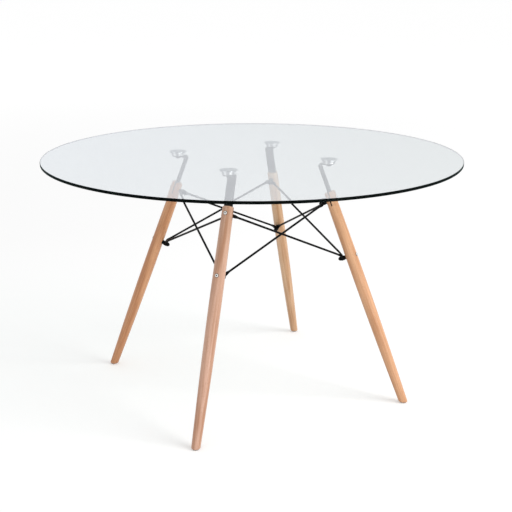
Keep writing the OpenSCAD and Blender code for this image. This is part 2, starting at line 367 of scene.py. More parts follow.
def turned_leg(finish):
    """The lathe's rule for a leg, lying on its own axis, with its cuts."""
    leg = Recipe.shape("turned_leg")
    length, foot = leg.size("Length", LEG_LENGTH), leg.size("Foot", LEG_FOOT)
    belly, belly_at = leg.size("Belly", LEG_BELLY), leg.size("Belly at", BELLY_AT)
    top, lean = leg.size("Top", LEG_TOP), leg.size("Lean", LEG_LEAN)
    shoulder, edge = leg.size("Shoulder", SHOULDER), leg.size("Foot edge", FOOT_EDGE)
    sawn_at = leg.size("Sawn at", GLIDE_THICKNESS)
    sides, rings, rounding = 80, 150, 8
    blank = leg.node(
        "GeometryNodeMeshCylinder", {},
        {"Vertices": sides, "Side Segments": rings, "Radius": 1.0, "Depth": 1.0},
    )
    place = leg.node("GeometryNodeInputPosition", {}, {})
    round_x, round_y, height = leg.parts(place)
    share = rounding / rings
    up = height + 0.5
    quarter = math.pi / 2
    foot_turn = (up / share).limited() * quarter
    top_turn = ((up - (1.0 - share)) / share).limited() * quarter
    climb = ((up - share) / (1.0 - 2 * share)).limited()
    lift = edge * (1.0 - foot_turn.cosine())
    inset = edge * (1.0 - foot_turn.sine()) + shoulder * (1.0 - top_turn.cosine())
    level = (sawn_at + lift - round_x * foot * 0.5 * lean.sine()) / lean.cosine()
    along = level + (length - shoulder - level) * climb + shoulder * top_turn.sine()
    swell = (along / belly_at).limited() * quarter
    taper = ((along - belly_at) / (length - belly_at)).limited() * quarter
    below = (foot + (belly - foot) * swell.sine()) * 0.5
    above = (top + (belly - top) * taper.cosine()) * 0.5
    radius = below + (above - below) * along.above(belly_at) - inset
    x, y = round_x * radius, round_y * radius
    true_level = (sawn_at + lift - x * lean.sine()) / lean.cosine()
    z = along + (true_level - level) * (1.0 - climb)
    turned = leg.node("GeometryNodeSetPosition", {}, {0: blank, "Position": leg.vector(x, y, z)})

    def bore(diameter, length, centre, turn=(0, quarter, 0)):
        """What a drill takes out: across the leg, or along it with no turn."""
        rod = leg.node(
            "GeometryNodeMeshCylinder", {},
            {"Vertices": 48, "Radius": diameter / 2, "Depth": length},
        )
        return leg.node(
            "GeometryNodeTransform", {}, {0: rod, "Translation": centre, "Rotation": turn}
        )

    slot = leg.node(
        "GeometryNodeMeshCube", {},
        {"Size": (SLOT_WIDTH, SAW_LENGTH, SLOT_DEPTH + 2 * PAST_THE_WOOD)},
    )
    slot_at = (0, 0, LEG_LENGTH - SLOT_DEPTH / 2 + PAST_THE_WOOD)
    cutters = [
        leg.node("GeometryNodeTransform", {}, {0: slot, "Translation": slot_at}),
        bore(PIN_HOLE, PIN_DRILL, (0, 0, PAST_THE_WOOD), (0, 0, 0)),
    ]
    for place_on_leg in BOLTS_AT.values():
        seat = bolt_seat(place_on_leg) + SEAT_CUT / 2
        cutters.append(bore(BOLT_HOLE, DRILL_LENGTH, (0, 0, place_on_leg)))
        cutters.append(bore(HEAD_SEAT, SEAT_CUT, (seat, 0, place_on_leg)))
        cutters.append(bore(SLEEVE_SEAT, SEAT_CUT, (-seat, 0, place_on_leg)))
    cut = leg.node(
        "GeometryNodeMeshBoolean", {"operation": "DIFFERENCE", "solver": "EXACT"},
        {0: turned, 1: cutters},
    )
    named = leg.node(
        "GeometryNodeStoreNamedAttribute",
        {"data_type": "FLOAT_VECTOR", "domain": "POINT"},
        {0: cut, "Name": "grain", "Value": leg.node("GeometryNodeInputPosition", {}, {})},
    )
    leg.result(named, finish)
    return leg


# Each leg's own timber: its colour, and where in the plank its grain is read.
TIMBER = {
    "front_left": ((0.73, 0.44, 0.32), (0.0, 0.0, 0.0)),
    "front_right": ((0.85, 0.475, 0.26), (0.31, 0.17, 1.30)),
    "back_right": ((0.83, 0.545, 0.33), (0.62, 0.44, 2.20)),
    "back_left": ((0.75, 0.375, 0.185), (0.18, 0.71, 3.40)),
}
beech = beech_finish()
blank_leg = creased(made_by(turned_leg(beech), "turned_leg"))
for corner, (colour, cut_from) in TIMBER.items():
    leg_mesh = blank_leg.copy()
    for point in leg_mesh.attributes["grain"].data:
        point.vector = Vector(point.vector) + Vector(cut_from)
    timber = leg_mesh.attributes.new("timber", "FLOAT_VECTOR", "POINT")
    timber.data.foreach_set("vector", [*colour] * len(leg_mesh.vertices))
    finished("turned_leg_" + corner, leg_mesh, "leg_" + corner, leg_place(corner))

# Glides: a grey plastic disc nailed under each foot by a pin moulded to it, so
# that the wood stands clear of the floor.

GLIDE, GLIDE_EDGE = 0.018, 0.0005
GLIDE_PIN, PIN_STARTS, PIN_ENDS, PIN_POINT = 0.0024, 0.0010, 0.0185, 0.0190


def revolved(name, outline, sides):
    """A closed solid turned about z from its outline, a list of (radius, height) points."""
    points, rings, faces = [], [], []
    for radius, height in outline:
        if radius == 0:
            rings.append([len(points)] * sides)
            points.append((0, 0, height))
            continue
        rings.append(list(range(len(points), len(points) + sides)))
        for i in range(sides):
            turn = 2 * math.pi * i / sides
            points.append((radius * math.cos(turn), radius * math.sin(turn), height))
    closing = [] if outline[0][0] == 0 else [(rings[-1], rings[0])]
    for low, high in list(zip(rings, rings[1:])) + closing:
        for i in range(sides):
            j = (i + 1) % sides
            corners = [low[i], low[j], high[j], high[i]]
            face = [c for n, c in enumerate(corners) if c != corners[n - 1]]
            if len(face) > 2:
                faces.append(face)
    mesh = bpy.data.meshes.new(name)
    mesh.from_pydata(points, [], faces)
    mesh.update()
    return mesh


def rounded(corner, before, after, radius):
    """Points that round off one corner of an outline."""
    steps = 4
    corner, before, after = Vector(corner), Vector(before), Vector(after)
    start = corner + (before - corner).normalized() * radius
    end = corner + (after - corner).normalized() * radius
    return [
        tuple(start.lerp(corner, t).lerp(corner.lerp(end, t), t))
        for t in (i / steps for i in range(steps + 1))
    ]


def eased(outline, radii):
    """An outline whose numbered corners are rounded off."""
    points = []
    for i, corner in enumerate(outline):
        if i in radii:
            after = outline[(i + 1) % len(outline)]
            points += rounded(corner, outline[i - 1], after, radii[i])
        else:
            points.append(corner)
    return points


def joined(name, meshes):
    """Several loose meshes as one."""
    whole = bmesh.new()
    for mesh in meshes:
        whole.from_mesh(mesh)
    mesh = meshes[0].copy()
    mesh.name = name
    whole.to_mesh(mesh)
    whole.free()
    return mesh


# Colour and strength of the painted shade in screw sockets and round screw heads.
PAINTED_SHADE_COLOUR, PAINTED_SHADE_STRENGTH = (0.05, 0.03, 0.02), 1.6


def speckled_finish(name, colour, roughness, grit, depth, with_painted_shade=False, **constants):
    """A plain moulded, coated or plated surface with a fine grit and a faint unevenness."""
    coat = Recipe.finish(name)
    place = coat.node("ShaderNodeTexCoord", {}, {}, output="Object")
    fine = coat.node("ShaderNodeTexNoise", {}, {"Vector": place, "Scale": grit, "Detail": 2.0})
    broad = coat.node("ShaderNodeTexNoise", {}, {"Vector": place, "Scale": 45.0, "Detail": 3.0})
    shade = coat.blend(broad * 0.5 + fine * 0.2, colour, tuple(0.82 * c for c in colour))
    # Painted shade: socket floors and head rims are darkened where the mesh's attribute says.
    if with_painted_shade:
        painted_shade_share = coat.node("ShaderNodeAttribute", {"attribute_name": "dust"}, {}, output=2)
        shade = coat.blend((painted_shade_share * PAINTED_SHADE_STRENGTH).limited(), shade, PAINTED_SHADE_COLOUR)
    relief = coat.node("ShaderNodeBump", {}, {"Strength": depth, "Distance": 0.0002, "Height": fine})
    return coat.surface(coat.lacquer(
        shade, roughness + broad * 0.10 + fine * 0.06, relief, **constants
    ))


grey_plastic = speckled_finish("glide_plastic", (0.36, 0.37, 0.37), 0.42, 2600.0, 0.15)
disc_outline = eased(
    [(0, 0), (GLIDE / 2, 0), (GLIDE / 2, GLIDE_THICKNESS), (0, GLIDE_THICKNESS)], {1: GLIDE_EDGE}
)
pin_outline = [(0, PIN_STARTS), (GLIDE_PIN / 2, PIN_STARTS), (GLIDE_PIN / 2, PIN_ENDS), (0, PIN_POINT)]
under = FOOT_RADIUS - GLIDE_THICKNESS * math.tan(LEG_LEAN)
for corner in CORNERS:
    disc = revolved("glide", disc_outline, 48)
    disc.transform(corner_place(corner) @ Matrix.Translation((under, 0, 0)))
    pin = revolved("pin", pin_outline, 24)
    pin.transform(leg_place(corner))
    glide_mesh = creased(joined("foot_glide_" + corner, [disc, pin]))
    glide_mesh.materials.append(grey_plastic)
    finished("foot_glide_" + corner, glide_mesh, "glide_" + corner)

# Straps: flat steel bar in satin black powder coat. Each is let into the slot
# of a leg, held there by the upper bolt, and folded outwards under its pad.

PAD_RADIUS = 0.226
STRAP_WIDTH, STRAP_THICKNESS, STRAP_EDGE = 0.025, 0.004, 0.0006
BEND_RADIUS = 0.006
PAST_SCREW, OFF_THE_SLOT_FLOOR = 0.012, 0.001
SCREW_HOLE, STRAP_DRILL = 0.0084, 0.012
SMALLEST_GAP = 0.00003

black_coat = speckled_finish(
    "satin_black_coat", (0.010, 0.010, 0.011), 0.38, 1900.0, 0.25, Specular_IOR_Level=0.18
)


def corner_leg(along):
    """A point on a leg's axis, in the frame of its corner."""
    return Vector((FOOT_RADIUS - along * math.sin(LEG_LEAN), 0, along * math.cos(LEG_LEAN)))


def folded_strap(finish):
    """The bending rule: a flat bar swept along its bend line, with its two holes."""
    strap = Recipe.shape("folded_strap")
    width, thickness = strap.size("Width", STRAP_WIDTH), strap.size("Thickness", STRAP_THICKNESS)
    bend = strap.size("Bend radius", BEND_RADIUS)
    line = strap.node("GeometryNodeMeshToCurve", {}, {0: strap.start()})
    bent = strap.node(
        "GeometryNodeFilletCurve", {"mode": "POLY"}, {"Curve": line, "Count": 14, "Radius": bend}
    )
    bar = strap.node(
        "GeometryNodeCurvePrimitiveQuadrilateral", {}, {"Width": width, "Height": thickness}
    )
    section = strap.node(
        "GeometryNodeFilletCurve", {"mode": "POLY"}, {"Curve": bar, "Count": 4, "Radius": STRAP_EDGE}
    )
    swept = strap.node(
        "GeometryNodeCurveToMesh", {}, {"Curve": bent, "Profile Curve": section, "Fill Caps": True}
    )
    welded = strap.node("GeometryNodeMergeByDistance", {}, {0: swept, "Distance": SMALLEST_GAP})
    bolt_place = corner_leg(BOLTS_AT["upper"])
    holes = []
    for diameter, centre, turn in (
        (SCREW_HOLE, (PAD_RADIUS, 0, TAB_MIDDLE), (0, 0, 0)),
        (BOLT_HOLE, tuple(bolt_place), (0, math.pi / 2 - LEG_LEAN, 0)),
    ):
        drill = strap.node(
            "GeometryNodeMeshCylinder", {},
            {"Vertices": 40, "Radius": diameter / 2, "Depth": STRAP_DRILL},
        )
        holes.append(strap.node(
            "GeometryNodeTransform", {}, {0: drill, "Translation": centre, "Rotation": turn}
        ))
    drilled = strap.node(
        "GeometryNodeMeshBoolean", {"operation": "DIFFERENCE", "solver": "EXACT"}, {0: welded, 1: holes}
    )
    strap.result(drilled, finish)
    return strap


bend_line = bpy.data.meshes.new("bend_line")
bend_line.from_pydata(
    [
        corner_leg(LEG_LENGTH - SLOT_DEPTH + OFF_THE_SLOT_FLOOR),
        (FOLD_RADIUS, 0, TAB_MIDDLE),
        (PAD_RADIUS + PAST_SCREW, 0, TAB_MIDDLE),
    ],
    [(0, 1), (1, 2)], [],
)
blank_strap = creased(made_by(folded_strap(black_coat), "folded_strap", bend_line))
for corner in CORNERS:
    finished(
        "folded_strap_" + corner, blank_strap.copy(), "strap_" + corner,
        corner_place(corner),
    )

# Leg bolts: two nickel-plated socket screws through every leg, their low round
# heads in flat seats on the outside, with painted shade in the socket and round the edge.
# They carry the rods on the inside.

SLEEVE, EYE_THICKNESS, IN_THE_NUT = 0.007, 0.0045, 0.004
BOLT, BOLT_HEAD, HEAD_HEIGHT = 0.006, 0.011, 0.003
BOLT_KEY, KEY_DEPTH = 0.0039, 0.0015
# Where shade is painted: as shares of a socket's width, of its depth and of a head's radius.
IN_THE_SOCKET, UNDER_ITS_FLOOR, OVER_ITS_FLOOR = 0.6, 1.1, 0.5
RIM_SHADE_STARTS, RIM_SHADE_RUN = 0.77, 0.18


def seats(inside):
    """Bolt seats on all legs: place, way of the bolt's axis there, distance up the leg."""
    found = []
    for corner in CORNERS:
        for along in BOLTS_AT.values():
            place = leg_place(corner, along)
            outwards = (place.to_3x3() @ Vector((1, 0, 0))).normalized()
            depth = bolt_seat(along)
            if inside:
                found.append((place @ Vector((-depth, 0, 0)), -outwards, along))
            else:
                found.append((place @ Vector((depth, 0, 0)), outwards, along))
    return found


def marked_points(name, marks):
    """Loose points that carry the direction in which something stands on them."""
    mesh = bpy.data.meshes.new(name)
    mesh.from_pydata([place for place, _, _ in marks], [], [])
    way = mesh.attributes.new("way", "FLOAT_VECTOR", "POINT")
    way.data.foreach_set("vector", [c for _, direction, _ in marks for c in direction])
    return mesh


def bench_copy(mesh):
    """A master piece on the bench, for a rule to repeat. It is taken away afterwards."""
    master = bpy.data.objects.new("master_" + mesh.name, mesh)
    bpy.context.scene.collection.objects.link(master)
    return master


def repeated(name, master, marks, finish, cutter_flats=0.0, cutter_depth=0.0):
    """One master, set on every mark. A cutter gives it a hexagon socket first, and painted shade
    in the socket and round the master's edge."""
    rule = Recipe.shape(name)
    flats, depth = rule.size("Socket flats", cutter_flats), rule.size("Socket depth", cutter_depth)
    bench = bench_copy(master)
    solid = rule.node(
        "GeometryNodeObjectInfo", {"transform_space": "ORIGINAL"}, {"Object": bench}, output="Geometry"
    )
    if cutter_flats:
        key = rule.node(
            "GeometryNodeMeshCylinder", {},
            {"Vertices": 6, "Radius": flats / math.sqrt(3), "Depth": depth * 2},
        )
        top = max(v.co.z for v in master.vertices)
        key = rule.node("GeometryNodeTransform", {}, {0: key, "Translation": (0, 0, top)})
        solid = rule.node(
            "GeometryNodeMeshBoolean", {"operation": "DIFFERENCE", "solver": "EXACT"},
            {0: solid, 1: [key]},
        )
        # Painted shade: dark on the socket's floor and over the outer quarter of the head.
        x, y, z = rule.parts(rule.node("GeometryNodeInputPosition", {}, {}))
        from_axis = (x ** 2.0 + y ** 2.0) ** 0.5
        near = 1.0 - from_axis.above(flats * IN_THE_SOCKET)
        low = z.above(top - depth * UNDER_ITS_FLOOR) * (1.0 - z.above(top - depth * OVER_ITS_FLOOR))
        rim = max(v.co.xy.length for v in master.vertices)
        painted_rim_shade = ((from_axis - rim * RIM_SHADE_STARTS) / (rim * RIM_SHADE_RUN)).limited()
        solid = rule.node(
            "GeometryNodeStoreNamedAttribute", {"data_type": "FLOAT", "domain": "POINT"},
            {0: solid, "Name": "dust", "Value": near * low + painted_rim_shade},
        )
    way = rule.node(
        "GeometryNodeInputNamedAttribute", {"data_type": "FLOAT_VECTOR"}, {"Name": "way"}
    )
    stand = rule.node("FunctionNodeAlignRotationToVector", {"axis": "Z"}, {"Vector": way})
    placed = rule.node(
        "GeometryNodeInstanceOnPoints", {},
        {"Points": rule.start(), "Instance": solid, "Rotation": stand},
    )
    rule.result(placed, finish)
    mesh = made_by(rule, name, marked_points(name, marks))
    bpy.data.objects.remove(bench)
    return creased(mesh)


def button_head(name, shank, reach, head, height):
    """A socket screw before its socket is cut: seat at z = 0, head above, shank below."""
    dome, edge, point = head * 0.7, 0.0002, 0.0005
    steps, lowest, narrowest = 7, 0.0004, 0.0003
    crown = [
        (min(math.sqrt(dome ** 2 - (z - height + dome) ** 2), head / 2), z)
        for z in (height * (1 - (i / steps) ** 2) for i in range(steps, -1, -1))
    ]
    outline = [(0, -reach), (shank / 2 - point, -reach), (shank / 2, -reach + point), (shank / 2, 0)]
    outline += [(head / 2 - edge, 0), (head / 2, edge)]
    outline += [(r, z) for r, z in crown if z > lowest and r > narrowest] + [(0, height)]
    return revolved(name, outline, 48)


# Bright nickel, with painted shade in the sockets and round the heads.
nickel = speckled_finish(
    "nickel_plate", (0.97, 0.945, 0.91), 0.24, 1400.0, 0.05, with_painted_shade=True, Metallic=1.0
)
bolt_meshes = []
for level, along in BOLTS_AT.items():
    reach = 2 * bolt_seat(along) + SLEEVE + 2 * EYE_THICKNESS + IN_THE_NUT
    screw = button_head("leg_bolt_" + level, BOLT, reach, BOLT_HEAD, HEAD_HEIGHT)
    marks = [mark for mark in seats(inside=False) if mark[2] == along]
    bolt_meshes.append(repeated("leg_bolts_" + level, screw, marks, nickel, BOLT_KEY, KEY_DEPTH))
finished("socket_bolts", joined("socket_bolts", bolt_meshes), "leg_bolts")

# Sleeves: short black steel tubes on the bolts, which hold the rods' eyes off
# the legs.

SLEEVE_INSIDE, SLEEVE_OUTSIDE, SLEEVE_EDGE = 0.0032, 0.0060, 0.0004

gloss_black = speckled_finish(
    "gloss_black_coat", (0.004, 0.004, 0.0045), 0.24, 1500.0, 0.18, Specular_IOR_Level=0.06
)
tube = revolved("sleeve", eased(
    [(SLEEVE_INSIDE, 0), (SLEEVE_OUTSIDE, 0), (SLEEVE_OUTSIDE, SLEEVE), (SLEEVE_INSIDE, SLEEVE)],
    {1: SLEEVE_EDGE, 2: SLEEVE_EDGE},
), 40)
finished(
    "rod_sleeves", repeated("rod_sleeves", tube, seats(inside=True), gloss_black),
    "brace_sleeves",
)

# Rods: eight lengths of round steel in gloss black, crossing in pairs between
# neighbouring legs. Their ends are pressed flat, drilled and bent to the bolts.

ROD, EYE, NECK, NECK_WIDTH, TAPER = 0.006, 0.014, 0.012, 0.010, 0.014
ROD_STARTS, ROD_BEND = 0.0046, 0.006
PRESSED_EDGE, PAST_TAPER = 0.0006, 0.004
TURN_STARTS, TURN_SHARE = 0.35, 0.3
SQUARENESS = 0.55

# Each rod: the leg of its high end, the leg of its low end, and whether its eyes are
# the first (0) or the second (1) on their bolts.
BAYS = {
    "brace_front_high_left": ("front_left", "front_right", 0),
    "brace_front_high_right": ("front_right", "front_left", 1),
    "brace_right_high_front": ("front_right", "back_right", 0),
    "brace_right_high_back": ("back_right", "front_right", 1),
    "brace_back_high_right": ("back_right", "back_left", 0),
    "brace_back_high_left": ("back_left", "back_right", 1),
    "brace_left_high_back": ("back_left", "front_left", 0),
    "brace_left_high_front": ("front_left", "back_left", 1),
}


def eye_on_bolt(corner, level, layer):
    """Middle of a rod's eye, and the way of the bolt through it."""
    along = BOLTS_AT[level]
    place = leg_place(corner, along)
    inwards = bolt_seat(along) + SLEEVE + EYE_THICKNESS * (layer + 0.5)
    return place @ Vector((-inwards, 0, 0)), (place.to_3x3() @ Vector((1, 0, 0))).normalized()


def rod_rule(finish):
    """The smith's rule for a rod: round in the middle, pressed flat towards both eyes."""
    rod = Recipe.shape("pressed_rod")
    thick, eye, plate = rod.size("Rod", ROD), rod.size("Eye", EYE), rod.size("Plate", EYE_THICKNESS)
    neck, width = rod.size("Neck", NECK), rod.size("Neck width", NECK_WIDTH)
    taper, starts = rod.size("Taper", TAPER), rod.size("Starts", ROD_STARTS)
    vectors = {
        label: rod.size(label, (0.0, 0.0, 1.0), "NodeSocketVector")
        for label in ("High eye", "Low eye", "High bolt", "Low bolt")
    }

    def vector_math(operation, *values, output=0):
        """What a Vector Math node makes of some vectors."""
        return rod.node(
            "ShaderNodeVectorMath", {"operation": operation}, dict(enumerate(values)), output
        )

    def scaled(vector, factor):
        """A vector made longer or shorter."""
        return rod.node("ShaderNodeVectorMath", {"operation": "SCALE"}, {0: vector, "Scale": factor})

    line = rod.node("GeometryNodeMeshToCurve", {}, {0: rod.start()})
    bent = rod.node(
        "GeometryNodeFilletCurve", {"mode": "POLY"}, {"Curve": line, "Count": 10, "Radius": ROD_BEND}
    )
    length = rod.node("GeometryNodeCurveLength", {}, {0: bent})
    blank = rod.node(
        "GeometryNodeMeshCylinder", {},
        {"Vertices": 24, "Side Segments": 90, "Radius": 1.0, "Depth": 1.0},
    )
    round_x, round_y, height = rod.parts(rod.node("GeometryNodeInputPosition", {}, {}))
    up = height + 0.5
    end = neck + taper + PAST_TAPER
    first, last = (up * 3.0).limited(), (up * 3.0 - 2.0).limited()
    middle = (up * 3.0 - 1.0).limited()
    along = first * end + middle * (length - end * 2.0) + last * end
    sample = rod.node(
        "GeometryNodeSampleCurve", {"mode": "LENGTH"}, {"Curves": bent, "Length": along},
        output="Position",
    )
    tangent = sample.other("Tangent")
    from_eye = along.least(length - along) + starts
    press = 1.0 - ((from_eye - neck) / taper).limited()
    press = press * press * (3.0 - press * 2.0)
    half_width = thick * 0.5 + (width - thick) * 0.5 * press
    half_plate = thick * 0.5 + (plate - thick) * 0.5 * press
    turn = ((up - TURN_STARTS) / TURN_SHARE).limited()
    turn = turn * turn * (3.0 - turn * 2.0)
    flat_way = rod.node(
        "ShaderNodeMix", {"data_type": "VECTOR"},
        {0: turn, 4: vectors["High bolt"], 5: vectors["Low bolt"]}, output=1,
    )
    leaning = vector_math("DOT_PRODUCT", flat_way, tangent, output=1)
    normal = vector_math("NORMALIZE", vector_math("SUBTRACT", flat_way, scaled(tangent, leaning)))
    side = vector_math("CROSS_PRODUCT", tangent, normal)

    def squared(value):
        """Flattens a round section's sides towards a rectangle's as it is pressed."""
        size = value.math("ABSOLUTE", value) ** (1.0 - press * SQUARENESS)
        return size * value.math("SIGN", value)

    swept = vector_math("ADD", sample, vector_math(
        "ADD",
        scaled(side, squared(round_x) * half_width),
        scaled(normal, squared(round_y) * half_plate),
    ))
    bar = rod.node("GeometryNodeSetPosition", {}, {0: blank, "Position": swept})
    ring_line = rod.node(
        "GeometryNodeCurvePrimitiveCircle", {"mode": "RADIUS"},
        {"Resolution": 48, "Radius": (eye + BOLT_HOLE) * 0.25},
    )
    section = rod.node(
        "GeometryNodeFilletCurve", {"mode": "POLY"},
        {
            "Curve": rod.node(
                "GeometryNodeCurvePrimitiveQuadrilateral", {},
                {"Width": (eye - BOLT_HOLE) * 0.5, "Height": plate},
            ),
            "Count": 4, "Radius": PRESSED_EDGE,
        },
    )
    ring = rod.node(
        "GeometryNodeCurveToMesh", {}, {"Curve": ring_line, "Profile Curve": section}
    )
    eyes = []
    for end_name in ("High", "Low"):
        lie = rod.node(
            "FunctionNodeAlignRotationToVector", {"axis": "Z"}, {"Vector": vectors[end_name + " bolt"]}
        )
        eyes.append(rod.node(
            "GeometryNodeTransform", {},
            {0: ring, "Translation": vectors[end_name + " eye"], "Rotation": lie},
        ))
    whole = rod.node(
        "GeometryNodeMeshBoolean", {"operation": "UNION", "solver": "EXACT"}, {1: [bar] + eyes}
    )
    rod.result(whole, finish)
    return rod


pressed_rod = rod_rule(gloss_black)
first_rods = {}
for node, (high, low, layer) in BAYS.items():
    quarter_turns = (CORNERS[high] - CORNERS["front_left" if layer == 0 else "front_right"]) / 90
    if layer not in first_rods:
        (high_eye, high_bolt), (low_eye, low_bolt) = (
            eye_on_bolt(corner, level, layer) for corner, level in ((high, "upper"), (low, "lower"))
        )
        reach = (low_eye - high_eye).normalized()
        high_neck = (reach - high_bolt * reach.dot(high_bolt)).normalized()
        low_neck = (-reach + low_bolt * reach.dot(low_bolt)).normalized()
        route = bpy.data.meshes.new("rod_route")
        route.from_pydata(
            [
                high_eye + high_neck * ROD_STARTS, high_eye + high_neck * NECK,
                low_eye + low_neck * NECK, low_eye + low_neck * ROD_STARTS,
            ],
            [(0, 1), (1, 2), (2, 3)], [],
        )
        first_rods[layer] = creased(made_by(
            pressed_rod, "pressed_rod", route,
            high_eye=high_eye, low_eye=low_eye, high_bolt=high_bolt, low_bolt=low_bolt,
        ), 40)
    finished(
        node.replace("brace", "rod"), first_rods[layer].copy(), node,
        Matrix.Rotation(quarter_turns * math.pi / 2, 4, "Z"),
    )

# Dome nuts: closed black hexagon nuts with turned-down corners, which clamp two
# rod eyes against the sleeve on every bolt.

NUT_FLATS, NUT_HEIGHT = 0.011, 0.005
NUT_CORNER, NUT_DOME = NUT_FLATS / math.sqrt(3), NUT_FLATS * 0.46
NUT_BORE, IN_THE_BODY, CUT_PAST = 0.0031, 0.002, 0.001
TURNED_LOW, TURNED_HIGH, TURNED_OVER = 0.0009, 0.0012, 0.0004


def dome_nut():
    """A hexagon with turned-down corners under a dome, bored from below."""
    hexagon = revolved("hexagon", [
        (0, 0), (NUT_CORNER, 0), (NUT_CORNER, NUT_HEIGHT), (0, NUT_HEIGHT)
    ], 6)
    foot, widest, neck = NUT_FLATS * 0.50, NUT_FLATS * 0.60, NUT_FLATS * 0.48
    turned_down = revolved("turned_down", [
        (0, -CUT_PAST), (foot, -CUT_PAST), (foot, 0), (widest, TURNED_LOW),
        (widest, NUT_HEIGHT - TURNED_HIGH), (neck, NUT_HEIGHT + TURNED_OVER),
        (0, NUT_HEIGHT + TURNED_OVER),
    ], 48)
    dome_starts, steps = NUT_HEIGHT - CUT_PAST, 11
    dome = revolved("dome", [(0, NUT_HEIGHT - IN_THE_BODY)] + [
        (NUT_DOME * math.cos(a), dome_starts + NUT_DOME * math.sin(a))
        for a in (math.pi / 2 * (i - 1) / steps for i in range(steps + 1))
    ] + [(0, dome_starts + NUT_DOME)], 48)
    bore = revolved("bore", [
        (0, -CUT_PAST), (NUT_BORE, -CUT_PAST), (NUT_BORE, NUT_HEIGHT + CUT_PAST),
        (0, NUT_HEIGHT + CUT_PAST),
    ], 32)
    nut = Recipe.shape("dome_nut")
    benches = [bench_copy(mesh) for mesh in (hexagon, turned_down, dome, bore)]
    solids = [
        nut.node(
            "GeometryNodeObjectInfo", {"transform_space": "ORIGINAL"}, {"Object": bench},
            output="Geometry",
        )
        for bench in benches
    ]
    body = nut.node(
        "GeometryNodeMeshBoolean", {"operation": "INTERSECT", "solver": "EXACT"}, {1: solids[:2]}
    )
    capped = nut.node(
        "GeometryNodeMeshBoolean", {"operation": "UNION", "solver": "EXACT"}, {1: [body, solids[2]]}
    )
    bored = nut.node(
        "GeometryNodeMeshBoolean", {"operation": "DIFFERENCE", "solver": "EXACT"},
        {0: capped, 1: [solids[3]]},
    )
    nut.result(bored, gloss_black)
    mesh = made_by(nut, "dome_nut")
    for bench in benches:
        bpy.data.objects.remove(bench)
    return mesh


on_the_eyes = [
    (place + way * (SLEEVE + 2 * EYE_THICKNESS), way, along) for place, way, along in seats(inside=True)
]
finished(
    "cap_nuts", repeated("cap_nuts", dome_nut(), on_the_eyes, gloss_black), "dome_nuts"
)

# Pads: turned and polished metal discs, each a thin flange bonded under the
# glass over a narrower body that the strap is screwed to.

GLASS_LOW = 0.702
TAB_TOP = 0.690
BOND, BONDED_SKIN = 0.00008, 0.0002
PAD_BODY, PAD_FLANGE, FLANGE_LOW = 0.0200, 0.0250, 0.6990
PAD_FOOT, PAD_CHAMFER = 0.0192, 0.0008
PAD_THREAD, THREAD_END = 0.0041, 0.6975
PAD_EASING = {2: 0.0003, 3: 0.0006, 4: 0.0006, 5: 0.0004}
# Grooves per metre, and the count and starting angle of the painted reflection bands.
GROOVE_RATE, PAINTED_BANDS, FIRST_PAINTED_BAND = 9000.0, 8.0, 0.59


def polished_finish():
    """Bright turned metal: fine grooves round each pad's own axis, and painted reflections, light and
    dark bands by turns.
    """
    metal = Recipe.finish("polished_pad_metal")
    place = metal.node("ShaderNodeAttribute", {"attribute_name": "turned_place"}, {}, output=1)
    x, y, height = metal.parts(place)
    from_axis = (x ** 2.0 + y ** 2.0) ** 0.5
    grooves = ((from_axis + height) * GROOVE_RATE).sine()
    marks = metal.node("ShaderNodeTexNoise", {}, {"Vector": place, "Scale": 420.0, "Detail": 3.0})
    depth = grooves * 0.5 + marks * 0.2
    relief = metal.node("ShaderNodeBump", {}, {"Strength": 0.35, "Distance": 0.0002, "Height": depth})
    # Painted reflections: light and dark bands round the axis, standing in for a room mirrored in the
    # grooves.
    painted_band = (y.math("ARCTAN2", y, x) * PAINTED_BANDS + FIRST_PAINTED_BAND).cosine() * 0.5 + 0.5
    turned = metal.blend(painted_band + (marks - 0.5) * 0.3, (0.13, 0.135, 0.15), (0.95, 0.95, 0.96))
    bonded = height.above(GLASS_LOW - BOND - BONDED_SKIN)
    colour = metal.blend(bonded, turned, (0.38, 0.39, 0.41))
    roughness = 0.14 + marks * 0.10 + bonded * 0.2
    return metal.surface(metal.lacquer(colour, roughness, relief, Metallic=1.0))


polished = polished_finish()
pad_outline = eased(
    [
        (PAD_THREAD, TAB_TOP), (PAD_FOOT, TAB_TOP), (PAD_BODY, TAB_TOP + PAD_CHAMFER),
        (PAD_BODY, FLANGE_LOW), (PAD_FLANGE, FLANGE_LOW), (PAD_FLANGE, GLASS_LOW - BOND),
        (0, GLASS_LOW - BOND), (0, THREAD_END), (PAD_THREAD, THREAD_END),
    ],
    PAD_EASING,
)
for corner in CORNERS:
    pad_mesh = creased(revolved("polished_pad_" + corner, pad_outline, 96))
    turned_place = pad_mesh.attributes.new("turned_place", "FLOAT_VECTOR", "POINT")
    turned_place.data.foreach_set("vector", [c for v in pad_mesh.vertices for c in v.co])
    pad_mesh.materials.append(polished)
    finished(
        "polished_pad_" + corner, pad_mesh, "pad_" + corner,
        corner_place(corner) @ Matrix.Translation((PAD_RADIUS, 0, 0)),
    )

# Pad screws and washers: black socket screws that go up through the straps
# into the pads, each on a flat washer.

WASHER, WASHER_INSIDE, WASHER_OUTSIDE, WASHER_EDGE = 0.0015, 0.0042, 0.0080, 0.0003
PAD_SCREW, PAD_SCREW_LENGTH, PAD_SCREW_HEAD, PAD_HEAD_HEIGHT = 0.008, 0.012, 0.014, 0.0044
PAD_KEY, PAD_KEY_DEPTH = 0.0052, 0.0022
SCREW_SEAT = TAB_TOP - STRAP_THICKNESS - WASHER
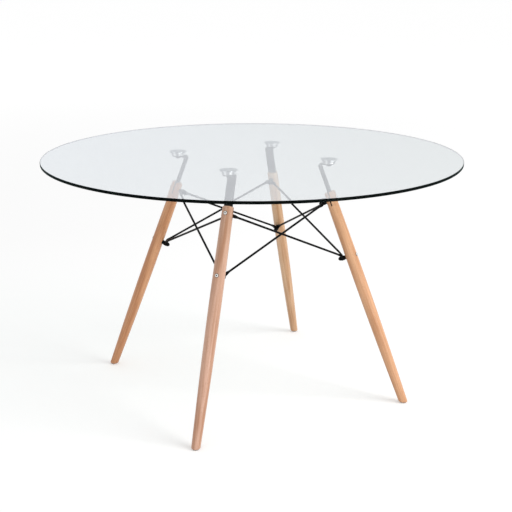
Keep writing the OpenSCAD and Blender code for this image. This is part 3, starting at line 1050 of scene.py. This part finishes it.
# Black oxide, with painted shade in the sockets and round the heads.
oxide = speckled_finish(
    "black_oxide", (0.022, 0.021, 0.022), 0.34, 1300.0, 0.10, with_painted_shade=True, Specular_IOR_Level=0.4
)
under_pads = [
    (corner_place(corner) @ Vector((PAD_RADIUS, 0, SCREW_SEAT)), Vector((0, 0, -1)), 0)
    for corner in CORNERS
]
pad_screw = button_head("pad_screw", PAD_SCREW, PAD_SCREW_LENGTH, PAD_SCREW_HEAD, PAD_HEAD_HEIGHT)
finished(
    "pad_button_screws",
    repeated("pad_button_screws", pad_screw, under_pads, oxide, PAD_KEY, PAD_KEY_DEPTH),
    "pad_screws",
)
washer = revolved("washer", eased(
    [(WASHER_INSIDE, -WASHER), (WASHER_OUTSIDE, -WASHER), (WASHER_OUTSIDE, 0), (WASHER_INSIDE, 0)],
    {1: WASHER_EDGE, 2: WASHER_EDGE},
), 48)
finished(
    "pad_flat_washers", repeated("pad_flat_washers", washer, under_pads, oxide),
    "pad_washers",
)

# Glass top: one disc of clear float glass with a ground and polished edge. It
# looks pale where one looks through it and dark green along its edge.

GLASS_RADIUS = 0.5998
GLASS_HIGH = 0.710
ARRIS = 0.0010
GLASS_EASING = {1: 0.0002, 2: 0.0003, 3: 0.0003, 4: 0.0002}
GLASS_INDEX = 1.5
BOUNCES, BOUNCES_OF_A_KIND = 28, 24


def clear_glass_finish():
    """Clear glass that mirrors the room more as it is seen flatter. Lamps shine through it."""
    glass = Recipe.finish("clear_float_glass")
    path = glass.node("ShaderNodeLightPath", {}, {}, output="Is Shadow Ray")
    passing = path.most(path.other("Is Diffuse Ray"))
    facing = glass.node("ShaderNodeLayerWeight", {}, {"Blend": 0.5}, output="Facing")
    place = glass.node("ShaderNodeTexCoord", {}, {}, output="Object")
    wipe = glass.node("ShaderNodeTexNoise", {}, {"Vector": place, "Scale": 2.2, "Detail": 2.0})
    share = (0.006 + (facing ** 1.35) * (0.735 + wipe * 0.04)).limited()
    bent = glass.node(
        "ShaderNodeBsdfRefraction", {}, {"Color": (1, 1, 1, 1), "Roughness": 0.0, "IOR": GLASS_INDEX}
    )
    mirror = glass.node(
        "ShaderNodeBsdfGlossy", {}, {"Color": (0.795, 0.81, 0.875, 1.0), "Roughness": 0.0}
    )
    outside = glass.node("ShaderNodeMixShader", {}, {0: share, 1: bent, 2: mirror})
    inside = glass.node(
        "ShaderNodeBsdfGlass", {}, {"Color": (1, 1, 1, 1), "Roughness": 0.0, "IOR": GLASS_INDEX}
    )
    within = glass.node("ShaderNodeNewGeometry", {}, {}, output="Backfacing")
    face = glass.node("ShaderNodeMixShader", {}, {0: within, 1: outside, 2: inside})
    x, y, _ = glass.parts(place)
    on_edge = (x ** 2.0 + y ** 2.0).above((GLASS_RADIUS - ARRIS) ** 2)
    edge = glass.node(
        "ShaderNodeBsdfGlass", {},
        {"Color": (0.08, 0.115, 0.11, 1.0), "Roughness": 0.0, "IOR": GLASS_INDEX},
    )
    seen = glass.node("ShaderNodeMixShader", {}, {0: on_edge, 1: face, 2: edge})
    through = glass.node("ShaderNodeBsdfTransparent", {}, {"Color": (0.95, 0.97, 0.965, 1.0)})
    both = glass.node("ShaderNodeMixShader", {}, {0: passing, 1: seen, 2: through})
    tint = glass.node(
        "ShaderNodeVolumeAbsorption", {}, {"Color": (0.30, 0.62, 0.45, 1.0), "Density": 10.0}
    )
    glass.node("ShaderNodeOutputMaterial", {}, {"Surface": both, "Volume": tint})
    return glass.material


glass_mesh = creased(revolved("glass_disc", eased(
    [
        (0, GLASS_LOW), (GLASS_RADIUS - ARRIS, GLASS_LOW), (GLASS_RADIUS, GLASS_LOW + ARRIS),
        (GLASS_RADIUS, GLASS_HIGH - ARRIS), (GLASS_RADIUS - ARRIS, GLASS_HIGH), (0, GLASS_HIGH),
    ],
    GLASS_EASING,
), 360), 25)
glass_mesh.materials.append(clear_glass_finish())
finished("glass_disc", glass_mesh, "glass_top")
light_bounces = bpy.context.scene.cycles
light_bounces.max_bounces = BOUNCES
light_bounces.transmission_bounces = BOUNCES_OF_A_KIND
light_bounces.glossy_bounces = BOUNCES_OF_A_KIND

# Floor and light: a plain white studio, bright all round, with a large softbox
# on the right and a small low one in front, which the turned metal picks up.
# The paper floor glows for the lens so that it shows as pure white.

FLOOR_REACH = 60.0
GLOW_STARTS, GLOW_RUN, GLOW_NEAR, GLOW_MORE = 2.0, 6.0, 0.28, 0.14
FILL = 0.72
LEFT_WALL, RIGHT_WALL = (1.0, 1.0, 1.0), (0.93, 0.93, 0.905)
WALL_CHANGE = 2.4

floor_mesh = bpy.data.meshes.new("studio_floor")
floor_mesh.from_pydata(
    [(x * FLOOR_REACH, y * FLOOR_REACH, 0) for x, y in ((-1, -1), (1, -1), (1, 1), (-1, 1))],
    [], [(0, 1, 2, 3)],
)
floor = bpy.data.objects.new("studio_floor", floor_mesh)
bpy.context.scene.collection.objects.link(floor)
paper = Recipe.finish("studio_paper")
path = paper.node("ShaderNodeLightPath", {}, {}, output="Is Camera Ray")
seen = path.most(path.other("Is Glossy Ray")).most(path.other("Is Transmission Ray"))
spot = paper.node("ShaderNodeTexCoord", {}, {}, output="Object")
away = paper.node("ShaderNodeVectorMath", {"operation": "LENGTH"}, {0: spot}, output="Value")
far = ((away - GLOW_STARTS) / GLOW_RUN).limited()
matt = paper.node("ShaderNodeBsdfDiffuse", {}, {"Color": (0.80, 0.80, 0.80, 1.0)})
glow = paper.node(
    "ShaderNodeEmission", {},
    {"Color": (1, 1, 1, 1), "Strength": seen * (GLOW_NEAR + far * GLOW_MORE)},
)
both = paper.node("ShaderNodeAddShader", {}, {0: matt, 1: glow})
floor_mesh.materials.append(paper.surface(both))

studio = bpy.data.worlds.new("white_studio")
studio.use_nodes = True
bpy.context.scene.world = studio
room = Recipe(studio.node_tree)
path = room.node("ShaderNodeLightPath", {}, {}, output="Is Camera Ray")
mirrored = path.other("Is Glossy Ray")
backdrop = path.most(mirrored).most(path.other("Is Transmission Ray"))
direction = room.node("ShaderNodeTexCoord", {}, {}, output="Generated")
to_the_right = (math.cos(ROUND_THE_TABLE), math.sin(ROUND_THE_TABLE), 0.0)
sideways = room.node(
    "ShaderNodeVectorMath", {"operation": "DOT_PRODUCT"}, {0: direction, 1: to_the_right}, 1
)
rightness = (sideways * WALL_CHANGE + 0.5).limited() * mirrored
walls = room.blend(rightness, LEFT_WALL, RIGHT_WALL)
room.node(
    "ShaderNodeOutputWorld", {},
    {"Surface": room.node("ShaderNodeBackground", {}, {
        "Color": walls, "Strength": FILL + backdrop * (1.0 - FILL),
    })},
)


def soft_light(name, towards, distance, size, power):
    """A square softbox, turned to the table from a direction round it and above it."""
    lamp = bpy.data.lights.new(name, "AREA")
    lamp.size, lamp.energy = size, power
    box = bpy.data.objects.new(name, lamp)
    round_table, above = (math.radians(a) for a in towards)
    direction = Vector((
        math.sin(round_table) * math.cos(above),
        -math.cos(round_table) * math.cos(above),
        math.sin(above),
    ))
    box.location = LOOKED_AT + direction * distance
    box.rotation_euler = direction.to_track_quat("Z", "Y").to_euler()
    bpy.context.scene.collection.objects.link(box)


soft_light("right_softbox", towards=(44, 36), distance=6.0, size=3.0, power=165)
soft_light("small_front_box", towards=(14, 1), distance=4.0, size=0.5, power=14)

bpy.context.scene.view_settings.view_transform = "Standard"
